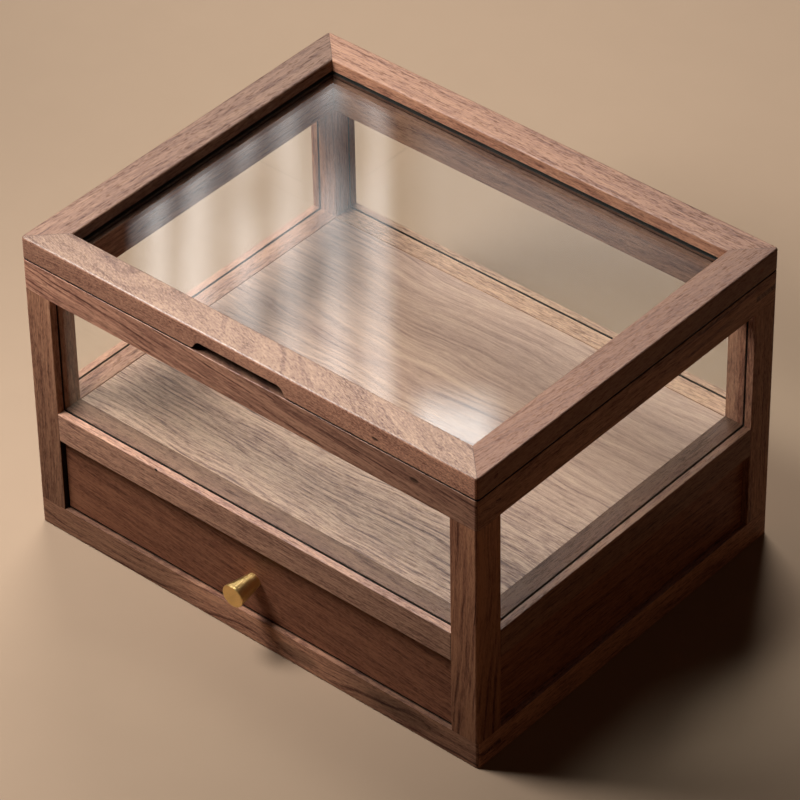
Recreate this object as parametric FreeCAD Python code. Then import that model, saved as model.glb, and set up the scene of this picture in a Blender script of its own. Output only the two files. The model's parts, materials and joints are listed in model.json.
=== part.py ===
import FreeCAD, Part

import math
import os

from FreeCAD import Vector

os.makedirs("parts", exist_ok=True)

# Driving dimensions, in millimetres
# X runs from left to right, Y from the front to the back and Z up, with the table at zero.
case_width = 360.0
case_depth = 283.0
post_size = 21.0
bottom_rail_height = 20.0
drawer_opening_height = 55.5
middle_rail_height = 21.5
window_height = 89.0
top_rail_height = 22.2
top_rail_width = 25.0
lid_gap = 0.8
lid_thickness = 16.0
lid_rail_width = 22.5
corner_radius = 2.5
arris = 0.5
lid_arris = 1.5
lid_foot_arris = 0.3
top_frame_arris = 0.4
foot_arris = 1.0

# Joints between the wooden pieces
tongue_thickness = 4.0
post_tenon_inset = 3.0
post_tenon_size = 11.0
post_tenon_length = 7.0
rail_tenon_inset = 5.0
rail_tenon_size = 10.0
rail_tenon_length = 5.5
rail_tenon_rise = 6.0
rail_tenon_height = 9.0
tenon_end_gap = 0.5
dowel_radius = 1.5
dowel_length = 18.0
dowel_from_corner = 16.5
dowel_height = 8.5
joint_gap = 0.02

# Glass, panels and boards, and the grooves that hold them
groove_depth = 5.0
edge_gap = 0.3
glass_inset = 5.5
glass_thickness = 2.0
glass_groove_inset = 5.2
glass_groove_width = 2.6
lid_lip = 8.6
lid_glass_thickness = 4.0
lid_groove_width = 5.0
panel_inset = 5.0
panel_thickness = 5.0
groove_slack = 0.1
floor_thickness = 8.0
floor_drop = 0.3
floor_joint = 0.4
floor_tongue = 3.0
bottom_board_height = 8.0
bottom_board_thickness = 5.0

# The drawer and what it runs on
drawer_recess = 3.6
drawer_side_gap = 0.9
drawer_foot_gap = 1.0
drawer_head_gap = 0.8
drawer_front_thickness = 14.0
drawer_wall = 10.0
drawer_wall_gap = 1.5
drawer_wall_height = 48.0
drawer_back_height = 36.0
drawer_rebate = 6.0
drawer_bottom_thickness = 4.0
drawer_bottom_rise = 6.0
drawer_rear_space = 24.0
slide_gap = 0.3
runner_width = 18.0
guide_height = 24.0
guide_gap = 0.8
stop_height = 12.0
knob_length = 20.0
knob_base_radius = 5.2
knob_face_radius = 8.2
knob_edge = 0.8
knob_shift = -1.0
knob_drop = 1.1
knob_screw_radius = 2.0
knob_screw_bite = 9.0
knob_screw_head_radius = 3.8
knob_screw_head_height = 2.4

# The finger pull in the lid's front rail
pull_width = 80.5
pull_centre = -3.2
pull_height = 6.8
pull_depth = 13.0
pull_end = 10.0

# The two butt hinges
hinge_spacing = 220.0
hinge_length = 30.0
hinge_leaf_depth = 14.0
hinge_leaf_thickness = 1.2
hinge_knuckle_radius = 2.2
hinge_middle_knuckle = 10.0
hinge_gap = 0.3
hinge_clearance = 0.4
hinge_pin_radius = 0.9
bore_gap = 0.05
screw_radius = 1.25
screw_head_radius = 2.4
screw_head_height = 1.1
screw_length = 11.0
screw_spacing = 18.0
screw_inset = 8.5
screw_slot_width = 0.6
screw_slot_depth = 0.45

# Heights that follow from them
drawer_floor = bottom_rail_height
drawer_ceiling = drawer_floor + drawer_opening_height
display_floor = drawer_ceiling + middle_rail_height
window_top = display_floor + window_height
case_top = window_top + top_rail_height
lid_bottom = case_top + lid_gap
lid_top = lid_bottom + lid_thickness

# The origin lies under the middle of the whole cabinet, from the knob's face to the hinge knuckles.
knob_reach = knob_length - drawer_recess
whole_depth = knob_reach + case_depth + hinge_knuckle_radius
left = -case_width / 2
right = case_width / 2
front = knob_reach - whole_depth / 2
back = front + case_depth
hinge_height = (case_top + lid_bottom) / 2

SIDES = ("front", "right", "back", "left")
UP = Vector(0, 0, 1)


def box(x, y, z):
    """A box from three pairs of limits."""
    corner = Vector(x[0], y[0], z[0])
    return Part.makeBox(x[1] - x[0], y[1] - y[0], z[1] - z[0], corner)


def prism(points, z):
    """An upright prism on a plan outline."""
    outline = [Vector(point.x, point.y, z[0]) for point in points]
    face = Part.Face(Part.makePolygon(outline + outline[:1]))
    return face.extrude(UP * (z[1] - z[0]))


def rod(centre, direction, radius, length):
    """A round bar that starts at a point and runs in a direction."""
    return Part.makeCylinder(radius, length, centre, direction)


def joined(shapes):
    """Several shapes fused into one solid."""
    shapes = list(shapes)
    return shapes[0].fuse(shapes[1:]).removeSplitter()


def without(shape, cutters):
    """A shape with every cutter taken out of it."""
    for cutter in cutters:
        shape = shape.cut(cutter)
    return shape


def rounded(shape, radius, wanted):
    """A shape with a round on the edges whose box of limits passes a test."""
    edges = [edge for edge in shape.Edges if wanted(edge.BoundBox)]
    return shape.makeFillet(radius, edges)


def at(value, level):
    """True where a coordinate lies on a level."""
    return abs(value - level) < 1e-4


def is_upright(limits):
    return limits.ZLength > 1 and limits.XLength < 1e-4 and limits.YLength < 1e-4


def save(name, *solids):
    """Writes one node, which may hold several solids, and prints its volume."""
    shape = solids[0] if len(solids) == 1 else Part.makeCompound(list(solids))
    if not shape.isValid():
        raise ValueError(name + " is not a valid shape")
    if len(shape.Solids) != len(solids):
        raise ValueError(name + " should hold %d solids, not %d" % (len(solids), len(shape.Solids)))
    shape.exportStep("parts/" + name + ".step")
    print("%-24s %10.1f cubic mm" % (name, shape.Volume))


def mirrored(shape):
    """The same piece on the other side of the cabinet."""
    return shape.mirror(Vector(0, 0, 0), Vector(1, 0, 0))


def plan_corners(inset):
    """The corners of the case in plan, brought in by a distance, in the order of the sides."""
    x = (left + inset, right - inset)
    y = (front + inset, back - inset)
    return [Vector(x[0], y[0]), Vector(x[1], y[0]), Vector(x[1], y[1]), Vector(x[0], y[1])]


def case_block(z, top_round=0.0, foot_round=0.0):
    """The case's outside between two heights, with round upright corners."""
    block = rounded(box((left, right), (front, back), z), corner_radius, is_upright)
    for level, radius in ((z[1], top_round), (z[0], foot_round)):
        if radius:
            block = rounded(block, radius, lambda b: at(b.ZMin, level) and at(b.ZMax, level))
    return block


def inside(inset, z):
    """The space inside the case, a distance in from its outside."""
    return box((left + inset, right - inset), (front + inset, back - inset), z)


def wall(side, inset, thickness, reach, z):
    """An upright slab on one side of the case, between the posts and reaching into them."""
    along_x = (left + post_size - reach, right - post_size + reach)
    along_y = (front + post_size - reach, back - post_size + reach)
    outer, inner = inset, inset + thickness
    if side == "front":
        return box(along_x, (front + outer, front + inner), z)
    if side == "back":
        return box(along_x, (back - inner, back - outer), z)
    if side == "left":
        return box((left + outer, left + inner), along_y, z)
    return box((right - inner, right - outer), along_y, z)


def mitred_rails(ring, rail_width, z):
    """A frame ring cut into four rails along its mitres."""
    outer = plan_corners(0)
    inner = plan_corners(rail_width)
    rails = {}
    for i, side in enumerate(SIDES):
        j = (i + 1) % len(SIDES)
        rails[side] = ring.common(prism([outer[i], outer[j], inner[j], inner[i]], z))
    return rails


def bridled_rails(ring, rail_width, z):
    """Mitred rails whose front and back ones have a tongue through the ends of the side rails."""
    rails = mitred_rails(ring, rail_width, z)
    middle = (z[0] + z[1]) / 2
    tongue_z = (middle - tongue_thickness / 2, middle + tongue_thickness / 2)
    x_ends = ((left, left + rail_width), (right - rail_width, right))
    y_ends = {"front": (front, front + post_size), "back": (back - post_size, back)}
    for side, y in y_ends.items():
        tongues = [ring.common(box(x, y, tongue_z)) for x in x_ends]
        rails[side] = joined([rails[side]] + tongues)
        for neighbour in ("left", "right"):
            rails[neighbour] = without(rails[neighbour], tongues)
    return rails


# Grooves and mortises that the case's frame is cut with
window_z = (display_floor - groove_depth, window_top + groove_depth)
panel_z = (drawer_floor - groove_depth, drawer_ceiling + groove_depth)
glass_grooves = [wall(side, glass_groove_inset, glass_groove_width, groove_depth, window_z)
                 for side in SIDES]
panel_sides = ("left", "right", "back")
panel_grooves = [wall(side, panel_inset - groove_slack, panel_thickness + 2 * groove_slack,
                      groove_depth, panel_z) for side in panel_sides]
floor_top = display_floor - floor_drop
floor_bottom = floor_top - floor_thickness
floor_groove = inside(post_size - groove_depth,
                      (floor_bottom - groove_slack, floor_bottom + floor_tongue + groove_slack))
bottom_board_z = (bottom_board_height, bottom_board_height + bottom_board_thickness)
bottom_groove = inside(post_size - groove_depth,
                       (bottom_board_z[0] - groove_slack, bottom_board_z[1] + groove_slack))


def post_tenon(x_side, y_side, z):
    """The square tenon on a post's end, near the post's outer corner."""
    near, far = post_tenon_inset, post_tenon_inset + post_tenon_size
    x = (left + near, left + far) if x_side == "left" else (right - far, right - near)
    y = (front + near, front + far) if y_side == "front" else (back - far, back - near)
    return box(x, y, z)


POSTS = [(y_side, x_side) for y_side in ("front", "back") for x_side in ("left", "right")]
post_tenon_z = (drawer_floor - post_tenon_length, window_top + post_tenon_length)
post_mortise_z = (post_tenon_z[0] - tenon_end_gap, post_tenon_z[1] + tenon_end_gap)
post_mortises = [post_tenon(x_side, y_side, post_mortise_z) for y_side, x_side in POSTS]

rail_tenon_z = (drawer_ceiling + rail_tenon_rise, drawer_ceiling + rail_tenon_rise + rail_tenon_height)
rail_mortises = [wall(side, rail_tenon_inset, rail_tenon_size, rail_tenon_length, rail_tenon_z)
                 for side in SIDES]

# The bottom and top frames, mitred with tongues
bottom_z = (0.0, drawer_floor)
bottom_ring = case_block(bottom_z, foot_round=foot_arris).cut(inside(post_size, bottom_z))
bottom_rails = bridled_rails(bottom_ring, post_size, bottom_z)
for side, rail in bottom_rails.items():
    rail = without(rail, panel_grooves + [bottom_groove] + post_mortises)
    save("bottom_rail_" + side, rail)


def hinge_space(z, x_middle):
    """The mortise for a hinge leaf between two heights, with the hollow for the knuckles."""
    x = (x_middle - hinge_length / 2 - hinge_gap, x_middle + hinge_length / 2 + hinge_gap)
    leaf = box(x, (back - hinge_leaf_depth - hinge_gap, back + 1), z)
    hollow = rod(Vector(x[0], back, hinge_height), Vector(1, 0, 0),
                 hinge_knuckle_radius + hinge_clearance, x[1] - x[0])
    return joined([leaf, hollow])


def screw(x_middle, offset, level, direction):
    """A countersunk screw, with its head flush with a level and its point in a direction."""
    top = Vector(x_middle + offset, back - screw_inset, level)
    way = UP * direction
    head = Part.makeCone(screw_head_radius, screw_radius, screw_head_height, top, way)
    shank = rod(top, way, screw_radius, screw_length)
    return joined([head, shank])


def slotted(shape, x_middle, offset, level, direction):
    """The screw with the slot in its head."""
    x = (x_middle + offset - screw_head_radius, x_middle + offset + screw_head_radius)
    y_middle = back - screw_inset
    y = (y_middle - screw_slot_width / 2, y_middle + screw_slot_width / 2)
    depths = sorted((level, level + direction * screw_slot_depth))
    return shape.cut(box(x, y, depths))


HINGES = (("left", -hinge_spacing / 2), ("right", hinge_spacing / 2))
OFFSETS = (-screw_spacing / 2, screw_spacing / 2)
case_screw_shapes = [screw(x, offset, case_top, -1) for name, x in HINGES for offset in OFFSETS]
lid_screw_shapes = [screw(x, offset, lid_bottom, 1) for name, x in HINGES for offset in OFFSETS]
case_hinge_spaces = [hinge_space((case_top - hinge_leaf_thickness, case_top + 1), x) for name, x in HINGES]
lid_hinge_spaces = [hinge_space((lid_bottom - 1, lid_bottom + hinge_leaf_thickness), x)
                    for name, x in HINGES]

top_z = (window_top, case_top)
top_ring = case_block(top_z, top_round=top_frame_arris).cut(inside(top_rail_width, top_z))
top_rails = bridled_rails(top_ring, top_rail_width, top_z)
for side, rail in top_rails.items():
    rail = without(rail, glass_grooves + post_mortises)
    if side == "back":
        rail = without(rail, case_hinge_spaces + case_screw_shapes)
    save("top_rail_" + side, rail)

# The four posts between the frames
for y_side, x_side in POSTS:
    x = (left, left + post_size) if x_side == "left" else (right - post_size, right)
    y = (front, front + post_size) if y_side == "front" else (back - post_size, back)
    outer_x = left if x_side == "left" else right
    outer_y = front if y_side == "front" else back
    post = box(x, y, (drawer_floor, window_top))
    post = rounded(post, corner_radius,
                   lambda b: is_upright(b) and at(b.XMin, outer_x) and at(b.YMin, outer_y))
    post = rounded(post, arris,
                   lambda b: is_upright(b) and at(b.XMin, outer_x) != at(b.YMin, outer_y))
    post = joined([post, post_tenon(x_side, y_side, post_tenon_z)])
    post = without(post, glass_grooves + panel_grooves + rail_mortises + [floor_groove])
    save("post_%s_%s" % (y_side, x_side), post)

# The middle rails, tenoned between the posts
middle_z = (drawer_ceiling, display_floor)
OUTER_FACE = {
    "front": lambda b: at(b.YMin, front) and at(b.YMax, front),
    "back": lambda b: at(b.YMin, back) and at(b.YMax, back),
    "left": lambda b: at(b.XMin, left) and at(b.XMax, left),
    "right": lambda b: at(b.XMin, right) and at(b.XMax, right),
}
for side, tenon in zip(SIDES, rail_mortises):
    rail = wall(side, 0, post_size, 0, middle_z)
    on_face = OUTER_FACE[side]
    rail = rounded(rail, arris, lambda b: on_face(b) and not is_upright(b))
    rail = joined([rail, tenon])
    rail = without(rail, glass_grooves + [floor_groove])
    if side != "front":
        rail = without(rail, panel_grooves)
    save("middle_rail_" + side, rail)

# Glass panes of the display, and the wooden panels below
pane_z = (window_z[0] + edge_gap, window_z[1] - edge_gap)
for side in SIDES:
    save("glass_" + side, wall(side, glass_inset, glass_thickness, groove_depth - edge_gap, pane_z))

panel_names = {"left": "side_panel_left", "right": "side_panel_right", "back": "back_panel"}
panel_edges = (panel_z[0] + edge_gap, panel_z[1] - edge_gap)
for side in panel_sides:
    panel = wall(side, panel_inset, panel_thickness, groove_depth - edge_gap, panel_edges)
    save(panel_names[side], panel)

# The floor of the display, tongued into the middle rails, and the board under the drawer
floor_slab = inside(post_size + floor_joint, (floor_bottom, floor_top))
floor_tongues = inside(post_size - groove_depth + edge_gap, (floor_bottom, floor_bottom + floor_tongue))
save("floor_board", joined([floor_slab, floor_tongues]))
save("bottom_board", inside(post_size - groove_depth + edge_gap, bottom_board_z))

# Runners under the drawer's sides, guides beside them and stops behind them
inner_y = (front + post_size, back - post_size)
runner_x = (left + post_size, left + post_size + runner_width)
runner = box(runner_x, inner_y, (bottom_board_z[1], drawer_floor))
guide_x = (left + panel_inset + panel_thickness, left + post_size + guide_gap)
guide = box(guide_x, inner_y, (drawer_floor, drawer_floor + guide_height))
save("drawer_runner_left", runner)
save("drawer_runner_right", mirrored(runner))
save("drawer_guide_left", guide)
save("drawer_guide_right", mirrored(guide))

drawer_rear = back - drawer_rear_space
wall_x = (left + post_size + drawer_wall_gap, left + post_size + drawer_wall_gap + drawer_wall)
stop_y = (drawer_rear + slide_gap, back - panel_inset - panel_thickness)
stop = box(wall_x, stop_y, (drawer_floor, drawer_floor + stop_height))
save("drawer_stops", stop, mirrored(stop))

# The drawer
drawer_face = front + drawer_recess
drawer_front_back = drawer_face + drawer_front_thickness
drawer_low = drawer_floor + slide_gap
drawer_bottom_low = drawer_low + drawer_bottom_rise
drawer_bottom_z = (drawer_bottom_low, drawer_bottom_low + drawer_bottom_thickness)
drawer_groove_reach = groove_depth - 1
knob_height = (drawer_floor + drawer_ceiling) / 2 - knob_drop
knob_middle = Vector(knob_shift, drawer_face, knob_height)
TO_FRONT = Vector(0, -1, 0)

bottom_x = wall_x[1] - drawer_groove_reach
drawer_bottom = box((bottom_x, -bottom_x), (drawer_front_back - drawer_groove_reach, drawer_rear),
                    drawer_bottom_z)
drawer_bottom_groove = box((bottom_x - groove_slack, -bottom_x + groove_slack),
                           (drawer_front_back - drawer_groove_reach - groove_slack, drawer_rear + 1),
                           (drawer_bottom_z[0] - groove_slack, drawer_bottom_z[1]))
save("drawer_bottom", drawer_bottom)

side_wall = box(wall_x, (drawer_front_back - drawer_rebate, drawer_rear),
                (drawer_low, drawer_low + drawer_wall_height))
save("drawer_side_left", side_wall.cut(drawer_bottom_groove))
save("drawer_side_right", mirrored(side_wall).cut(drawer_bottom_groove))
save("drawer_back", box((wall_x[1], -wall_x[1]), (drawer_rear - drawer_wall, drawer_rear),
                        (drawer_bottom_z[1], drawer_bottom_z[1] + drawer_back_height)))

face_x = (left + post_size + drawer_side_gap, right - post_size - drawer_side_gap)
face_z = (drawer_floor + drawer_foot_gap, drawer_ceiling - drawer_head_gap)
face_board = box(face_x, (drawer_face, drawer_front_back), face_z)
face_board = rounded(face_board, arris, lambda b: at(b.YMin, drawer_face) and at(b.YMax, drawer_face))
rebates = [side_wall, mirrored(side_wall)]
knob_hole = rod(knob_middle, -TO_FRONT, knob_screw_radius + 2 * groove_slack, drawer_front_thickness)
save("drawer_front", without(face_board, rebates + [drawer_bottom_groove, knob_hole]))

knob = Part.makeCone(knob_base_radius, knob_face_radius, knob_length, knob_middle, TO_FRONT)
knob_face = drawer_face - knob_length
knob = rounded(knob, knob_edge, lambda b: at(b.YMin, knob_face) and at(b.YMax, knob_face))
thread_hole = rod(knob_middle, TO_FRONT, knob_screw_radius + bore_gap, knob_screw_bite + 1)
save("knob", knob.cut(thread_hole))

screw_end = knob_middle + TO_FRONT * knob_screw_bite
shank = rod(screw_end, -TO_FRONT, knob_screw_radius, knob_screw_bite + drawer_front_thickness)
head_seat = Vector(knob_shift, drawer_front_back, knob_height)
head = rod(head_seat, -TO_FRONT, knob_screw_head_radius, knob_screw_head_height)
head_end = drawer_front_back + knob_screw_head_height
head = rounded(head, knob_screw_head_height / 3, lambda b: at(b.YMin, head_end) and at(b.YMax, head_end))
save("knob_screw", joined([head, shank]))

# The lid: a mitred frame around a pane of glass
lid_z = (lid_bottom, lid_top)
lid_opening = inside(lid_rail_width, lid_z)
lid_ring = case_block(lid_z, top_round=lid_arris, foot_round=lid_foot_arris).cut(lid_opening)
opening_x = (left + lid_rail_width, right - lid_rail_width)
opening_y = (front + lid_rail_width, back - lid_rail_width)


def is_lid_opening_edge(limits):
    on_top = at(limits.ZMin, lid_top) and at(limits.ZMax, lid_top)
    in_x = limits.XMin > opening_x[0] - 1 and limits.XMax < opening_x[1] + 1
    in_y = limits.YMin > opening_y[0] - 1 and limits.YMax < opening_y[1] + 1
    return on_top and in_x and in_y


lid_ring = rounded(lid_ring, lid_arris, is_lid_opening_edge)
lid_groove_z = (lid_top - lid_lip - lid_groove_width, lid_top - lid_lip)
lid_glass_z = (lid_groove_z[0] + groove_slack, lid_groove_z[0] + groove_slack + lid_glass_thickness)
lid_groove = inside(lid_rail_width - groove_depth, lid_groove_z)


def s_curve(start, end):
    """Two equal arcs that leave one height level and arrive level at another."""
    run, rise = end.x - start.x, end.z - start.z
    radius = (run ** 2 + rise ** 2) / (4 * abs(rise))
    middle = (start + end) * 0.5
    turn = math.atan2(abs(rise), abs(run))
    way = math.copysign(1, run)
    up_way = math.copysign(1, rise)
    bow = radius * math.sin(turn)
    sag = radius * (1 - math.cos(turn))
    first = start + Vector(way * bow, 0, up_way * sag)
    second = end - Vector(way * bow, 0, up_way * sag)
    return [Part.Arc(start, first, middle).toShape(), Part.Arc(middle, second, end).toShape()]


def finger_pull():
    """A cove cut into the rail's underside, with an S curve at each end of its outline."""
    x = (pull_centre - pull_width / 2, pull_centre + pull_width / 2)
    y = front - 1
    low = lid_bottom
    high = lid_bottom + pull_height
    start, end = Vector(x[0], y, low), Vector(x[1], y, low)
    rise, fall = Vector(x[0] + pull_end, y, high), Vector(x[1] - pull_end, y, high)
    edges = s_curve(start, rise) + [Part.makeLine(rise, fall)] + s_curve(fall, end)
    below = [end - UP, start - UP]
    edges += [Part.makeLine(end, below[0]), Part.makeLine(*below), Part.makeLine(below[1], start)]
    outline = Part.Face(Part.Wire(edges)).extrude(Vector(0, pull_depth + 2, 0))
    cove = Part.makeCylinder(1.0, x[1] - x[0], Vector(x[0], 0, 0), Vector(1, 0, 0))
    stretch = FreeCAD.Matrix()
    stretch.scale(1.0, pull_depth, pull_height)
    cove = cove.transformGeometry(stretch)
    cove.translate(Vector(0, front, lid_bottom))
    return outline.common(cove)


def lid_dowel(x_side, y_side, radius):
    """A dowel let in from the lid's side at 45 degrees, across the mitre."""
    toward_x = 1 if x_side == "left" else -1
    toward_y = -1 if y_side == "front" else 1
    x = left if x_side == "left" else right
    y = front + dowel_from_corner if y_side == "front" else back - dowel_from_corner
    way = Vector(toward_x, toward_y, 0).normalize()
    start = Vector(x, y, lid_bottom + dowel_height) - way * (2 * radius)
    return rod(start, way, radius, dowel_length + 2 * radius)


dowel_holes = [lid_dowel(x_side, y_side, dowel_radius + joint_gap) for y_side, x_side in POSTS]
lid_block = box((left, right), (front, back), lid_z)
dowels = [lid_dowel(x_side, y_side, dowel_radius).common(lid_block) for y_side, x_side in POSTS]
lid_rails = mitred_rails(lid_ring, lid_rail_width, lid_z)
for side, rail in lid_rails.items():
    rail = without(rail, [lid_groove] + dowel_holes)
    if side == "front":
        rail = rail.cut(finger_pull())
    if side == "back":
        rail = without(rail, lid_hinge_spaces + lid_screw_shapes)
    save("lid_rail_" + side, rail)
save("lid_dowels", *dowels)
save("lid_glass", inside(lid_rail_width - groove_depth + edge_gap, lid_glass_z))


# The hinges
def knuckles(x_middle, spans, radius):
    """Lengths of the hinge's barrel, measured from its middle."""
    centre = Vector(x_middle, back, hinge_height)
    return [rod(centre + Vector(a, 0, 0), Vector(1, 0, 0), radius, b - a) for a, b in spans]


half = hinge_length / 2
half_middle = hinge_middle_knuckle / 2
outer_spans = [(-half, -half_middle - hinge_gap), (half_middle + hinge_gap, half)]
middle_span = [(-half_middle, half_middle)]
outer_room = [(-half - hinge_gap, -half_middle), (half_middle, half + hinge_gap)]
middle_room = [(-half_middle - hinge_gap, half_middle + hinge_gap)]


def leaf(x_middle, z, own, room, screws):
    """One leaf with its own knuckles, cut clear of the other leaf's and of the pin."""
    plate = box((x_middle - half, x_middle + half), (back - hinge_leaf_depth, back), z)
    plate = without(plate, knuckles(x_middle, room, hinge_knuckle_radius + hinge_clearance))
    whole = joined([plate] + knuckles(x_middle, own, hinge_knuckle_radius))
    bore = knuckles(x_middle, [(-half - 1, half + 1)], hinge_pin_radius + bore_gap)
    return without(whole, bore + screws)


case_leaf_z = (case_top - hinge_leaf_thickness, case_top)
lid_leaf_z = (lid_bottom, lid_bottom + hinge_leaf_thickness)
for name, x_middle in HINGES:
    case_leaf = leaf(x_middle, case_leaf_z, outer_spans, middle_room, case_screw_shapes)
    lid_leaf = leaf(x_middle, lid_leaf_z, middle_span, outer_room, lid_screw_shapes)
    save("hinge_case_leaf_" + name, case_leaf)
    save("hinge_lid_leaf_" + name, lid_leaf)

whole_span = [(-half, half)]
save("hinge_pins", *[knuckles(x, whole_span, hinge_pin_radius)[0] for name, x in HINGES])
case_screws = [slotted(screw(x, offset, case_top, -1), x, offset, case_top, -1)
               for name, x in HINGES for offset in OFFSETS]
lid_screws = [slotted(screw(x, offset, lid_bottom, 1), x, offset, lid_bottom, 1)
              for name, x in HINGES for offset in OFFSETS]
save("hinge_screws_case", *case_screws)
save("hinge_screws_lid", *lid_screws)

print("front %.2f back %.2f top %.2f" % (front, back, lid_top))
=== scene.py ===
# %% [markdown]
# # A walnut tea cabinet
# The cabinet is a low box of dark wood. A glazed compartment for tea cakes and tea ware sits over one
# drawer, and a lid with a glass pane closes it from above. Every piece is already made at its real size in
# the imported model. This lesson gives each piece its finish, and then sets up a floor, soft light and a
# camera.
#
# # Loading the pieces
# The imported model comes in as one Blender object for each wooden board, pane and metal fitting. Each one
# already rides on the case, the lid or the drawer, so nothing is moved here. A new mesh for each board
# would be possible too, but the boards have their true shape, with rounds on the edges and real joints, so
# they stay.

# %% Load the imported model
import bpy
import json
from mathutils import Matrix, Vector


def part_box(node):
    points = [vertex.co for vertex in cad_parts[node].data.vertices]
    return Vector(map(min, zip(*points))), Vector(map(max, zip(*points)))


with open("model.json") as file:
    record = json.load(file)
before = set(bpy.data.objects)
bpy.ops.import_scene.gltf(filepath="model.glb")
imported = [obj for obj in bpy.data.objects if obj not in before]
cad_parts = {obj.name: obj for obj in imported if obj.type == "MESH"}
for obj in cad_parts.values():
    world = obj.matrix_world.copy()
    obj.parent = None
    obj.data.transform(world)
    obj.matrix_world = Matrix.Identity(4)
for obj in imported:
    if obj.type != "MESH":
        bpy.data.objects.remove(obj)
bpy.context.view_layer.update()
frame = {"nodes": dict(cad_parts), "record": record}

import json
import math
import bpy
from mathutils import Matrix, Vector

nodes = frame["nodes"]

# %% [markdown]
# # Sizes that the finishes need
# Grain, joint lines and painted shade are placed on the boards, so the script asks the model where its
# boards are.
# A copy of the numbers would be simpler to write down, but it would go wrong as soon as a board changes.

# %% Measure the boards
MM = 0.001


def low(node):
    """The lowest corner of a piece, in metres."""
    return Vector(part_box(node)[0])


def high(node):
    """The highest corner of a piece, in metres."""
    return Vector(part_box(node)[1])


case_left, case_right = low("bottom_rail_left").x, high("bottom_rail_right").x
case_front, case_back = low("bottom_rail_front").y, high("bottom_rail_back").y
case_middle = (case_front + case_back) / 2
half_width = (case_right - case_left) / 2
half_depth = (case_back - case_front) / 2
post_size = high("middle_rail_left").x - case_left
post_foot = high("bottom_rail_front").z
post_head = low("top_rail_front").z
case_top = high("top_rail_front").z
lid_bottom = low("lid_rail_front").z
lid_top = high("lid_rail_front").z
lid_rail_width = high("lid_rail_front").y - low("lid_rail_front").y
print("case %.0f by %.0f mm, posts %.0f mm" % (2 * half_width / MM, 2 * half_depth / MM, post_size / MM))

# %% [markdown]
# # Arithmetic on materials
# A procedural material is a sum: so much dark grain, so many pores, a little wear. Built by hand in the
# node editor it soon becomes a web of wires. Here a small class wraps one output socket and takes the
# signs of ordinary arithmetic, so that a formula in Python adds the nodes that work it out. Numbers go
# through Math nodes. Vectors go through Vector Math and colours through Mix, because a Math node would
# turn a colour grey.

# %% A socket with arithmetic
def socket_type(value):
    """What flows through a value: one number, a vector or a colour."""
    return value.socket.type if isinstance(value, Signal) else "VALUE"


def three_times(value, alpha=()):
    """A plain number as a vector, or as a grey with its alpha. Anything else stays as it is."""
    return (value,) * 3 + alpha if isinstance(value, (int, float)) else value


def find_socket(sockets, key):
    """A socket by its number, or the first one in use with its name."""
    if isinstance(key, int):
        return sockets[key]
    return [socket for socket in sockets if socket.name == key and socket.enabled][0]


class Signal:
    """One output socket of a material. Arithmetic on it adds the nodes that work it out."""

    def __init__(self, socket):
        self.socket = socket

    def __getitem__(self, name):
        """Another output of the same node."""
        return Signal(find_socket(self.socket.node.outputs, name))

    def node(self, kind, settings=None, sockets=None):
        """Adds any node: first its settings, then the values or links of its sockets."""
        made = self.socket.id_data.nodes.new("ShaderNode" + kind)
        for name, value in (settings or {}).items():
            if name == "stops":
                set_stops(made.color_ramp, value)
            else:
                setattr(made, name, value)
        for key, value in (sockets or {}).items():
            entry = find_socket(made.inputs, key)
            if isinstance(value, Signal):
                self.socket.id_data.links.new(value.socket, entry)
            else:
                entry.default_value = value
        return Signal([socket for socket in made.outputs if socket.enabled][0])

    def arithmetic(self, operation, first, second):
        """The node for one sign, whatever flows through its two sides."""
        types = (socket_type(first), socket_type(second))
        if "RGBA" in types:
            settings = {"data_type": "RGBA", "blend_type": operation}
            sides = {"A": three_times(first, (1.0,)), "B": three_times(second, (1.0,))}
            return self.node("Mix", settings, {"Factor": 1.0, **sides})
        if "VECTOR" in types:
            sides = {0: three_times(first), 1: three_times(second)}
            return self.node("VectorMath", {"operation": operation}, sides)
        return self.node("Math", {"operation": operation}, {0: first, 1: second})

    def __add__(self, other):
        return self.arithmetic("ADD", self, other)

    def __radd__(self, other):
        return self.arithmetic("ADD", other, self)

    def __sub__(self, other):
        return self.arithmetic("SUBTRACT", self, other)

    def __rsub__(self, other):
        return self.arithmetic("SUBTRACT", other, self)

    def __mul__(self, other):
        return self.arithmetic("MULTIPLY", self, other)

    def __rmul__(self, other):
        return self.arithmetic("MULTIPLY", other, self)

    def __truediv__(self, other):
        return self.arithmetic("DIVIDE", self, other)

    def __pow__(self, other):
        return self.arithmetic("POWER", self, other)

    def math(self, operation, *others):
        """A Math node that has no sign of its own, such as a sine or the larger of two."""
        return self.node("Math", {"operation": operation}, dict(enumerate((self,) + others)))

    def rise(self, start, end):
        """Zero before start, one after end and a smooth slope between them."""
        limits = {"Value": self, "From Min": start, "From Max": end}
        return self.node("MapRange", {"interpolation_type": "SMOOTHSTEP"}, limits)

    def blend(self, at_zero, at_one):
        """A colour that goes from one to another as this value goes from zero to one."""
        sides = {"Factor": self, "A": at_zero, "B": at_one}
        return self.node("Mix", {"data_type": "RGBA"}, sides)

    def noise(self, detail=2.0, roughness=0.5):
        """Noise around zero, read at this place."""
        settings = {"noise_dimensions": "3D", "normalize": True}
        values = {"Vector": self, "Scale": 1.0, "Detail": detail, "Roughness": roughness}
        return self.node("TexNoise", settings, values) - 0.5

    def vector(self, x, y, z):
        """Three values as one vector."""
        return self.node("CombineXYZ", None, {"X": x, "Y": y, "Z": z})

    def parts(self):
        """The parts of a vector, which are then read by their names X, Y and Z."""
        return self.node("SeparateXYZ", None, {"Vector": self})

    def length(self):
        """How long a vector is."""
        return self.node("VectorMath", {"operation": "LENGTH"}, {0: self})


print("sockets can be added, multiplied and blended")

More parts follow.
